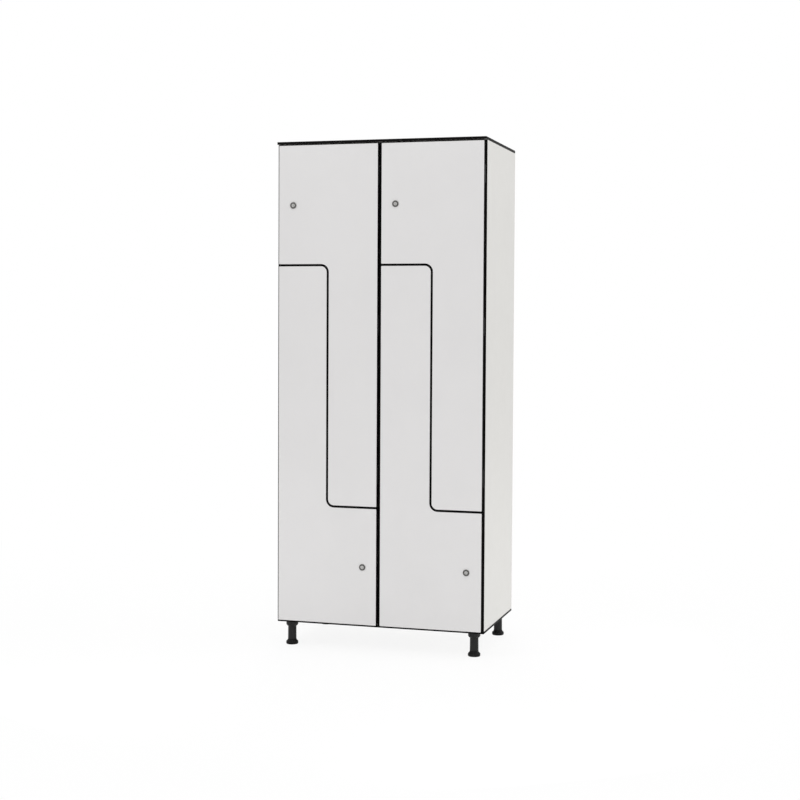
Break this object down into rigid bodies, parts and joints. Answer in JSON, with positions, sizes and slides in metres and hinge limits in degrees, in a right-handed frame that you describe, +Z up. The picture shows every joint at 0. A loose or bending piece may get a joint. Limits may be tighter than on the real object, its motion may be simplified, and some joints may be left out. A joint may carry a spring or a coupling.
{
  "type": "locker",
  "caption": "Tall cabinet locker on adjustable legs, with pairs of interlocking L-shaped doors, cam locks and stepped dividers inside.",
  "frame": {"origin": "on the floor under the middle of the object's box", "axes": "+Z up, -Y out of the doors, +X to the right as seen from the front"},
  "size_m": [0.8, 0.4934, 1.89],
  "materials": {
    "panel_laminate": "pale grey compact laminate with black core edges",
    "door_laminate": "pale grey compact laminate with black core edges",
    "black_steel": "black coated steel",
    "nickel": "satin nickel",
    "zinc_steel": "zinc-plated steel",
    "black_plastic": "moulded black plastic"
  },
  "bodies": {
    "carcass": {"bottom_panel": "panel_laminate", "top_panel": "panel_laminate", "back_panel": "panel_laminate", "side_panel_left": "panel_laminate", "side_panel_right": "panel_laminate", "centre_partition": "panel_laminate", "left_upper_shelf": "panel_laminate", "left_lower_shelf": "panel_laminate", "left_inner_divider": "panel_laminate", "right_upper_shelf": "panel_laminate", "right_lower_shelf": "panel_laminate", "right_inner_divider": "panel_laminate", "hinge_left_upper_1_frame_leaf": "black_steel", "hinge_left_upper_2_frame_leaf": "black_steel", "hinge_left_upper_3_frame_leaf": "black_steel", "hinge_left_lower_1_frame_leaf": "black_steel", "hinge_left_lower_2_frame_leaf": "black_steel", "hinge_left_lower_3_frame_leaf": "black_steel", "hinge_right_upper_1_frame_leaf": "black_steel", "hinge_right_upper_2_frame_leaf": "black_steel", "hinge_right_upper_3_frame_leaf": "black_steel", "hinge_right_lower_1_frame_leaf": "black_steel", "hinge_right_lower_2_frame_leaf": "black_steel", "hinge_right_lower_3_frame_leaf": "black_steel", "leg_front_left_body": "black_plastic", "leg_front_right_body": "black_plastic", "leg_back_left_body": "black_plastic", "leg_back_right_body": "black_plastic"},
    "door_left_upper": {"door_left_upper": "door_laminate", "hinge_left_upper_1_door_leaf": "black_steel", "hinge_left_upper_2_door_leaf": "black_steel", "hinge_left_upper_3_door_leaf": "black_steel", "lock_left_upper_housing": "nickel"},
    "lock_left_upper": {"lock_left_upper_plug": "nickel", "lock_left_upper_cam": "zinc_steel"},
    "door_left_lower": {"door_left_lower": "door_laminate", "hinge_left_lower_1_door_leaf": "black_steel", "hinge_left_lower_2_door_leaf": "black_steel", "hinge_left_lower_3_door_leaf": "black_steel", "lock_left_lower_housing": "nickel"},
    "lock_left_lower": {"lock_left_lower_plug": "nickel", "lock_left_lower_cam": "zinc_steel"},
    "door_right_upper": {"door_right_upper": "door_laminate", "hinge_right_upper_1_door_leaf": "black_steel", "hinge_right_upper_2_door_leaf": "black_steel", "hinge_right_upper_3_door_leaf": "black_steel", "lock_right_upper_housing": "nickel"},
    "lock_right_upper": {"lock_right_upper_plug": "nickel", "lock_right_upper_cam": "zinc_steel"},
    "door_right_lower": {"door_right_lower": "door_laminate", "hinge_right_lower_1_door_leaf": "black_steel", "hinge_right_lower_2_door_leaf": "black_steel", "hinge_right_lower_3_door_leaf": "black_steel", "lock_right_lower_housing": "nickel"},
    "lock_right_lower": {"lock_right_lower_plug": "nickel", "lock_right_lower_cam": "zinc_steel"},
    "foot_front_left": {"leg_front_left_foot": "black_plastic"},
    "foot_front_right": {"leg_front_right_foot": "black_plastic"},
    "foot_back_left": {"leg_back_left_foot": "black_plastic"},
    "foot_back_right": {"leg_back_right_foot": "black_plastic"}
  },
  "joints": [
    {"name": "door_left_upper_hinge", "type": "hinge", "parent": "carcass", "child": "door_left_upper", "pos_m": [-0.008, -0.23575, 1.20788], "axis": [0, 0, 1], "range_deg": [0, 90]},
    {"name": "door_left_lower_hinge", "type": "hinge", "parent": "carcass", "child": "door_left_lower", "pos_m": [-0.391, -0.23575, 0.76338], "axis": [0, 0, -1], "range_deg": [0, 90]},
    {"name": "door_right_upper_hinge", "type": "hinge", "parent": "carcass", "child": "door_right_upper", "pos_m": [0.391, -0.23575, 1.20788], "axis": [0, 0, 1], "range_deg": [0, 90]},
    {"name": "door_right_lower_hinge", "type": "hinge", "parent": "carcass", "child": "door_right_lower", "pos_m": [0.008, -0.23575, 0.76338], "axis": [0, 0, -1], "range_deg": [0, 90]},
    {"name": "lock_left_upper_turn", "type": "hinge", "parent": "door_left_upper", "child": "lock_left_upper", "pos_m": [-0.3355, -0.24325, 1.654], "axis": [0, 1, 0], "range_deg": [0, 90]},
    {"name": "lock_left_lower_turn", "type": "hinge", "parent": "door_left_lower", "child": "lock_left_lower", "pos_m": [-0.0605, -0.24325, 0.314], "axis": [0, -1, 0], "range_deg": [0, 90]},
    {"name": "lock_right_upper_turn", "type": "hinge", "parent": "door_right_upper", "child": "lock_right_upper", "pos_m": [0.0605, -0.24325, 1.654], "axis": [0, 1, 0], "range_deg": [0, 90]},
    {"name": "lock_right_lower_turn", "type": "hinge", "parent": "door_right_lower", "child": "lock_right_lower", "pos_m": [0.3355, -0.24325, 0.314], "axis": [0, -1, 0], "range_deg": [0, 90]},
    {"name": "leg_front_left_screw", "type": "slide", "parent": "carcass", "child": "foot_front_left", "axis": [0, 0, -1], "range_m": [0, 0.02]},
    {"name": "leg_front_right_screw", "type": "slide", "parent": "carcass", "child": "foot_front_right", "axis": [0, 0, -1], "range_m": [0, 0.02]},
    {"name": "leg_back_left_screw", "type": "slide", "parent": "carcass", "child": "foot_back_left", "axis": [0, 0, -1], "range_m": [0, 0.02]},
    {"name": "leg_back_right_screw", "type": "slide", "parent": "carcass", "child": "foot_back_right", "axis": [0, 0, -1], "range_m": [0, 0.02]}
  ]
}
